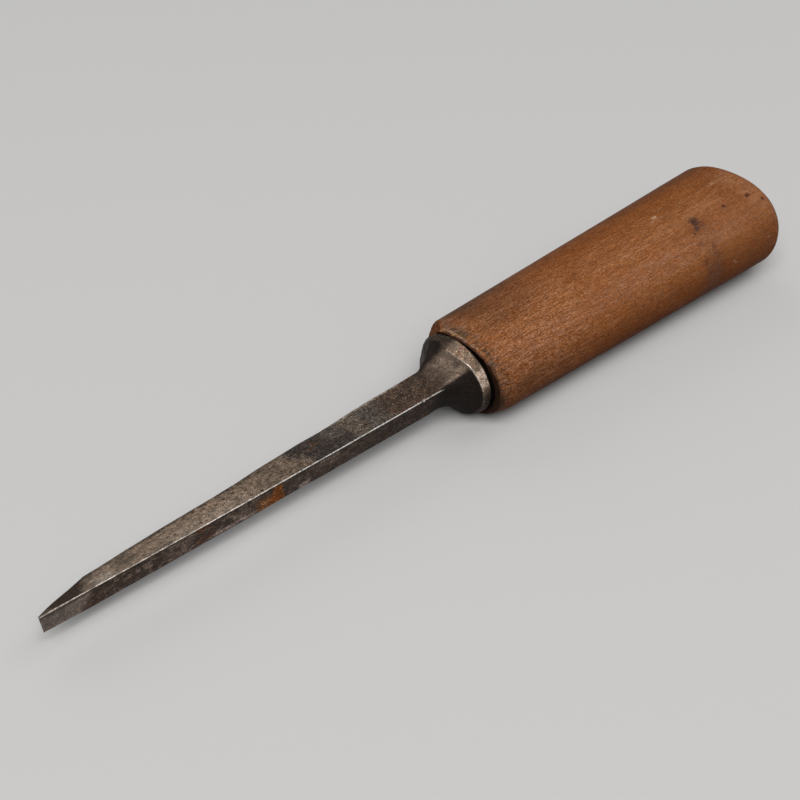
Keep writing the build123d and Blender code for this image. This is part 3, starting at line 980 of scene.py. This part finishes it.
def paint_front_rim(p, at):
    """Grime, shade and pale broken fibres where the side meets the bolster."""
    x, rows, torn, fibre = at.x, at.rows, at.torn, at.fibre
    grime = fall(x + 1.8 * torn + 0.8 * at.cloud, 1.2, 4.8)
    grime *= ease(torn + fibre, -0.6, 0.3) * (rows > RIM_ROW)
    p.coat(grime * 0.75, GRIME, 0.7)
    behind = x - x[RIM_ROW] + 0.3 * torn
    near = ease(around(118), -6, 14)
    low = ease(around(184), -8, 8)
    shaded = fall(behind, 0.1, mix(0.5, 0.8, near) + 1.1 * low) * (rows >= RIM_ROW - 1)
    p.coat(shaded * (mix(0.85, 0.55, near) + 0.35 * low), RIM_BROWN, 0.8)
    lip = zone(behind, 0.55, 1.25, 0.2) * ease(torn + 0.9 * fibre, -0.2, 0.4)
    p.coat(lip * (1 - near) * 0.8, CHIP_PALE, 0.8)
    for patch in RIM_GRIME:
        cover = ease(spot(x, *patch) + 0.45 * torn + 0.6 * fibre, 0.3, 0.95)
        p.coat(cover * 0.75, GRIME_OLIVE, 0.8)


def paint_marks(p, at):
    """Smudges, drips, a stain, worm holes and pale specks."""
    x, cloud, torn, fibre = at.x, at.cloud, at.torn, at.fibre
    for *place, dark in SMUDGES:
        blot = spot(x, *place) + 0.3 * torn + 0.15 * fibre
        p.coat(ease(blot, 0.3, 0.8) * dark, SMUDGE, 0.5)
    for along, middle, reach in DRIPS:
        drip = peak(x + 0.6 * torn, along, 0.7) * arc(middle, -reach, reach, 5)
        p.coat(drip * 0.65 * ease(fibre + torn, -0.8, 0.5), SMUDGE)
    stain = zone(x + 0.9 * cloud + 0.5 * torn, 70.8, 76.6, 1.3)
    stain *= arc(188, -26, 60, 12)
    p.coat(stain * ease(torn + fibre + cloud, -1.2, 0.2) * 0.75, STAIN)
    for along, angle, size in HOLES:
        hole = spot(x, along, size, angle, 2.4) + 0.25 * torn
        p.coat(ease(hole, 0.15, 0.8) * 0.85, HOLE_BROWN, 0.7)
    for speck in PALE_SPECKS:
        p.coat(ease(spot(x, *speck) + 0.1 * torn, 0.3, 0.7) * 0.8, CHIP_PALE, 0.7)


def paint_ends(p, at):
    """Broken front edge, end grain of the front with painted shadow in its groove, and the butt.
    """
    y, z, torn = at.rings[..., 1], at.rings[..., 2], at.torn
    cut = y - FRONT_WEAR_WIDTH + FRONT_WEAR_RISE * z - at.x
    coat = p.within(ease(cut + 0.5 * torn, -0.9, -0.2) * (at.rows > RIM_ROW - 4))
    coat(1, WOOD_UNDER, 0.9)
    coat(ease(torn + 0.8 * at.fibre, -0.2, 1) * 0.6, CHIP_PALE, 0.9)
    coat = p.within(fall(at.rows, RIM_ROW - 2.5, RIM_ROW + 0.5))
    coat(1, END_GRAIN, 0.85)
    coat(ease(at.off_axis + 0.3 * torn, 10.6, 11.8), END_GRAIN_RIM, 0.85)
    # Painted shadow: near black in the groove round the bolster's seat.
    coat(fall(at.off_axis + 0.3 * torn, 10.25, 10.6), GROOVE_PAINTED_SHADOW, 0.9)
    end_face = ease(at.x, HANDLE_LENGTH - 1, HANDLE_LENGTH - 0.2)
    years = np.hypot(y - PITH[0], z - PITH[1]) + 0.5 * at.cloud
    p.coat(end_face * (0.25 + 0.2 * np.sin(RING_RATE * years)), YEAR_RING, 0.6)
    return end_face


def paint_wood(rings):
    """The handle's colour and layers; worn is where its grain is rubbed smooth."""
    at = wood_map(rings)
    p = Paint(at.x.shape, WOOD, 0.46, 0)
    paint_body(p, at)
    paint_front_rim(p, at)
    paint_marks(p, at)
    end_face = paint_ends(p, at)
    near = mix(0.45, 1, ease(around(118), -12, 10))
    worn = 0.38 * ease(at.x, 16, 38) * near + 0.2 * ease(at.x, 55, 85)
    return p.tint, {"rough": p.rough, "worn": worn * (1 - 0.7 * end_face)}


# Wear of the handle, in mm; where its rim is chipped, in radians
GROOVE_AT = 10.1
GROOVE_WIDTH = 0.36
GROOVE_DEPTH = 1.2
RECESS_DEPTH = 0.35
RIM_WEAR_REACH = 0.9
RUB_REACH = 2.6
RUB_DEPTH = 1.4
CHIPPED_AT = 1.3
CHIPPED_TOO_AT = 2.5
CHIP_BACK = 0.8
CHIP_INWARD = 0.6
GRAIN_WAVES = 0.05
GRAIN_RIDGES = 0.014


def cut_front_edge(rings, torn, rows):
    """The slanting flat worn across the far corner of the front."""
    wear = np.array([-1, 1, FRONT_WEAR_RISE])
    wear /= np.linalg.norm(wear)
    over = (rings - np.array([0, FRONT_WEAR_WIDTH, 0])) @ wear
    over = np.maximum(over + 0.15 * torn * (rows > RIM_ROW - 8), 0)
    over[:SOCKET_ROWS] = 0
    return rings - over[..., None] * wear


def hollow_front(rings, rows):
    """Recess of the front face behind the bolster, with a groove round its seat."""
    off_axis = np.hypot(rings[..., 1], rings[..., 2])
    to_rim = off_axis[RIM_ROW - 1] - off_axis
    low_side = 0.35 + 0.65 * ease(np.cos(ANGLES - math.radians(190)), -0.2, 0.6)
    groove = GROOVE_DEPTH * peak(off_axis, GROOVE_AT, GROOVE_WIDTH)
    recess = RECESS_DEPTH * low_side * ease(off_axis, 9.2, 10.6)
    recess = (recess + groove * ease(off_axis, 9.2, 10)) * ease(to_rim, 0, 0.7)
    rings[..., 0] += recess * zone(rows, SOCKET_ROWS, RIM_ROW, 0.5)
    return off_axis


def chip_rim(rings, torn, rows, off_axis):
    """Chipped front rim, rubbed away underneath."""
    back = np.maximum(rings[..., 0] - rings[RIM_ROW, :, 0], 0)
    rim = peak(back, 0, RIM_WEAR_REACH) * (rows >= RIM_ROW - 3)
    chipped = 0.25 + 0.5 * ease(np.cos(ANGLES - CHIPPED_AT), 0.1, 0.9)
    chipped += 0.2 * ease(np.cos(ANGLES - CHIPPED_TOO_AT), 0.5, 0.9)
    chips = ease(noise(rings, (2.5, 2, 2), 31), 0.05, 0.55) * chipped
    rubbed = ease(np.cos(ANGLES - math.radians(232)), 0.5, 0.95)
    rubbed = rubbed * peak(back, 0, RUB_REACH) * (rows >= RIM_ROW - 6)
    sideways = rings[..., 1:] / off_axis[..., None] * -CHIP_INWARD
    inward = np.concatenate([CHIP_BACK + 0 * sideways[..., :1], sideways], -1)
    rings = rings + inward * (rim * (chips + 0.08 * torn))[..., None]
    return rings + inward * np.array([0, RUB_DEPTH, RUB_DEPTH]) * rubbed[..., None]


def handle():
    rings = handle_rings()
    rows = np.arange(len(rings))[:, None] + 0 * rings[..., 0]
    torn = noise(rings, 1.1, 33)
    rings = cut_front_edge(rings, torn, rows)
    off_axis = hollow_front(rings, rows)
    rings = chip_rim(rings, torn, rows, off_axis)
    relief = GRAIN_WAVES * noise(rings, (14, 5, 5), 34, 2)
    relief += GRAIN_RIDGES * noise(rings, (3, 0.4, 0.4), 35, 2) - GRAIN_WAVES
    for along, angle, size in HOLES:
        relief -= HOLE_DEPTH * spot(rings[..., 0], along, 0.7 * size, angle, 1.6)
    relief *= ease(rows, SIDE_ROW, SIDE_ROW + 6)
    rings = rings + grid_normals(rings) * relief[..., None]
    tint, layers = paint_wood(rings)
    caps = [[(row, j) for j in range(AROUND)] for row in (0, len(rings) - 1)]
    return build("wooden_handle", rings, caps, tint, layers)


# ---- materials
def feed(tree, made, inputs):
    """Links sockets and sets plain values."""
    for key, value in inputs.items():
        if isinstance(value, bpy.types.NodeSocket):
            tree.links.new(value, made.inputs[key])
        else:
            made.inputs[key].default_value = value


def node(tree, kind, inputs, **settings):
    made = tree.nodes.new("ShaderNode" + kind)
    for key, value in settings.items():
        setattr(made, key, value)
    feed(tree, made, inputs)
    return made


def calc(tree, operation, a, b, clamp=False):
    return node(tree, "Math", {0: a, 1: b}, operation=operation, use_clamp=clamp).outputs[0]


def times(tree, first, *others):
    for other in others:
        first = calc(tree, "MULTIPLY", first, other)
    return first


def remap(tree, value, low, high, to_low, to_high):
    inputs = {"Value": value, "From Min": low, "From Max": high,
              "To Min": to_low, "To Max": to_high}
    return node(tree, "MapRange", inputs, interpolation_type="SMOOTHSTEP").outputs["Result"]


def towards(tree, factor, a, b):
    return node(tree, "Mix", {"Factor": factor, "A": a, "B": b}).outputs["Result"]


def blend(tree, factor, a, b):
    """A colour that goes from a to b with the factor."""
    inputs = {"Factor": factor, "A": (*a, 1), "B": (*b, 1)}
    return node(tree, "Mix", inputs, data_type="RGBA").outputs["Result"]


def tinted(tree, a, b):
    return node(tree, "VectorMath", {0: a, 1: b}, operation="MULTIPLY").outputs["Vector"]


def stretched(tree, size):
    """Object coordinates in units of this size in mm along each axis."""
    where = node(tree, "TexCoord", {}).outputs["Object"]
    scale = [1 / (s * MM) for s in size]
    return node(tree, "Mapping", {"Vector": where, "Scale": scale}).outputs["Vector"]


def grain(tree, size, detail=4, rough=0.55):
    inputs = {"Vector": stretched(tree, size), "Scale": 1, "Detail": detail, "Roughness": rough}
    return node(tree, "TexNoise", inputs).outputs["Fac"]


def pores(tree, size, sparse, low, high):
    """1 in scattered holes of uneven size; sparse is the share of cells without one."""
    inputs = {"Vector": stretched(tree, size), "Scale": 1, "Randomness": 1}
    cells = node(tree, "TexVoronoi", inputs).outputs
    chance = node(tree, "SeparateColor", {"Color": cells["Color"]}).outputs["Red"]
    width = remap(tree, chance, sparse, 1, 0, 0.42)
    return remap(tree, calc(tree, "SUBTRACT", width, cells["Distance"]), low, high, 0, 1)


def layer(tree, name, output="Fac"):
    return node(tree, "Attribute", {}, attribute_name=name).outputs[output]


def new_material(name):
    material = bpy.data.materials.new(name)
    material.use_nodes = True
    return material, material.node_tree, material.node_tree.nodes["Principled BSDF"]


def finish_surface(tree, surface, inputs, fine, holes, hole_rough, bump):
    """Roughness that varies with the fine grain and the holes, bump and the rest."""
    rough = calc(tree, "ADD", layer(tree, "rough"), remap(tree, fine, 0.2, 0.8, 0.08, -0.08))
    rough = calc(tree, "ADD", rough, times(tree, holes, hole_rough), True)
    normal = node(tree, "Bump", bump).outputs["Normal"]
    feed(tree, surface, {"Roughness": rough, "Normal": normal, **inputs})


def steel_material():
    material, tree, surface = new_material("aged_steel")
    mottle = grain(tree, (1.5, 1.1, 1.1), 5, 0.65)
    speck = grain(tree, (0.34, 0.26, 0.26), 3, 0.6)
    pits = times(tree, pores(tree, (1.15, 0.44, 0.44), 0.2, -0.06, 0.1), layer(tree, "pits"))
    spark = remap(tree, grain(tree, (0.42, 0.25, 0.25), 2, 0.5), 0.5, 0.7, -0.22, 1.35)
    spark = calc(tree, "ADD", times(tree, spark, layer(tree, "flecks")), 1)
    light = times(tree, remap(tree, mottle, 0.28, 0.72, 0.54, 1.46),
                  remap(tree, speck, 0.31, 0.69, 0.42, 1.58), spark)
    light = towards(tree, layer(tree, "calm"), light, 1)
    light = times(tree, light, remap(tree, pits, 0, 1, 1, 0.32))
    earth = blend(tree, pits, (1, 1, 1), (1.12, 0.92, 0.72))
    colour = {0: tinted(tree, layer(tree, "tint", "Color"), earth), "Scale": light}
    colour = node(tree, "VectorMath", colour, operation="SCALE").outputs["Vector"]
    inputs = {"Base Color": colour, "Metallic": layer(tree, "metal"), "Specular IOR Level": 0.15}
    height = calc(tree, "SUBTRACT", times(tree, speck, 0.5), pits)
    bump = {"Height": calc(tree, "ADD", height, mottle), "Strength": 0.5, "Distance": 0.06 * MM}
    finish_surface(tree, surface, inputs, speck, pits, 0.25, bump)
    return material


def wood_material():
    material, tree, surface = new_material("worn_wood")
    streak = grain(tree, (9, 0.75, 0.75), 4, 0.6)
    fine = grain(tree, (0.66, 0.17, 0.17), 3, 0.6)
    fleck = pores(tree, (1.05, 0.3, 0.3), 0.3, -0.12, 0.2)
    thread = grain(tree, (2.8, 0.18, 0.18), 2, 0.5)
    light = times(tree, remap(tree, streak, 0.28, 0.72, 0.84, 1.18),
                  remap(tree, fine, 0.31, 0.69, 0.45, 1.61),
                  remap(tree, thread, 0.34, 0.66, 0.74, 1.26),
                  remap(tree, fleck, 0, 1, 1.06, 0.74))
    worn = layer(tree, "worn")
    light = towards(tree, worn, light, 1)
    hue = remap(tree, grain(tree, (2.4, 0.5, 0.5)), 0.36, 0.64, 0, 1)
    hue = blend(tree, hue, (1.05, 0.98, 0.84), (0.95, 1.02, 1.18))
    # light flecks are paler and dark ones richer than the wood between them
    tones = {axis: times(tree, calc(tree, "POWER", light, power), level)
             for axis, power, level in (("X", 0.92, 1), ("Y", 1.32, 0.98), ("Z", 2, 0.93))}
    tones = node(tree, "CombineXYZ", tones).outputs["Vector"]
    colour = tinted(tree, tinted(tree, layer(tree, "tint", "Color"), hue), tones)
    height = calc(tree, "SUBTRACT", calc(tree, "ADD", times(tree, fine, 0.6), streak), fleck)
    bump = {"Height": towards(tree, worn, height, 0), "Strength": 0.45, "Distance": 0.08 * MM}
    inputs = {"Base Color": colour, "Specular IOR Level": 0.1}
    finish_surface(tree, surface, inputs, fine, fleck, 0.15, bump)
    return material


steel_blade = blade()
wooden_handle = handle()
steel_blade.data.materials.append(steel_material())
wooden_handle.data.materials.append(wood_material())
for piece, cad_node, slot in ((steel_blade, "blade", "steel"), (wooden_handle, "handle", "wood")):
    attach(piece, "root")
    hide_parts(cad_node)

# ---- floor, light and camera
FLOOR = ((-10, -10, 0), (10, -10, 0), (10, 10, 0), (-10, 10, 0))
FLOOR_SEEN = (0.64, 0.63, 0.62)
FLOOR_BOUNCE = (0.15, 0.15, 0.15)
WORLD_COLOUR = (0.95, 0.97, 1, 1)
WORLD_STRENGTH = 0.18
LAMP_DISTANCE = 3
# Name, direction, size and watts
LAMPS = (("key", (-0.42, -0.42, 0.8), (2.1, 2.1), 74),
         ("top", (0.55, -0.2, 0.8), (2.1, 1.5), 13),
         ("back", (0.2, 0.8, 0.55), (2.4, 1.8), 9))
VIEW_FROM = Vector((-0.5809045, -0.57358943, 0.57753366))
CAMERA_AT = Vector((-0.23822521, -0.22281679, 0.23629146))
CAMERA_ROLL = math.radians(0.7346)
SENSOR_WIDTH = 36
FOCAL_LENGTH = 81

scene = bpy.context.scene
floor_mesh = bpy.data.meshes.new("floor")
floor_mesh.from_pydata(FLOOR, [], [(0, 1, 2, 3)])
floor = add("floor", floor_mesh)
floor_material, floor_tree, floor_surface = new_material("pale_floor")
path = node(floor_tree, "LightPath", {}).outputs
seen = calc(floor_tree, "MAXIMUM", path["Is Camera Ray"], path["Is Glossy Ray"])
pale = blend(floor_tree, seen, FLOOR_BOUNCE, FLOOR_SEEN)
feed(floor_tree, floor_surface, {"Base Color": pale, "Roughness": 0.9})
floor_mesh.materials.append(floor_material)

world = bpy.data.worlds.new("studio")
scene.world = world
world.use_nodes = True
feed(world.node_tree, world.node_tree.nodes["Background"],
     {"Color": WORLD_COLOUR, "Strength": WORLD_STRENGTH})

for name, direction, size, power in LAMPS:
    light = bpy.data.lights.new(name, "AREA")
    light.shape = "RECTANGLE"
    light.size, light.size_y = size
    light.energy = power
    lamp = add(name, light)
    away = Vector(direction).normalized()
    lamp.location = away * LAMP_DISTANCE
    lamp.rotation_euler = away.to_track_quat("Z", "Y").to_euler()

camera_data = bpy.data.cameras.new("camera")
camera_data.sensor_width = SENSOR_WIDTH
camera_data.lens = FOCAL_LENGTH
camera_data.clip_start = 0.01
camera_data.clip_end = 100
camera = add("camera", camera_data)
camera.location = CAMERA_AT
level = VIEW_FROM.to_track_quat("Z", "Y").to_matrix()
camera.rotation_euler = (level @ Matrix.Rotation(CAMERA_ROLL, 3, "Z")).to_euler()
scene.camera = camera
scene.view_settings.view_transform = "Standard"
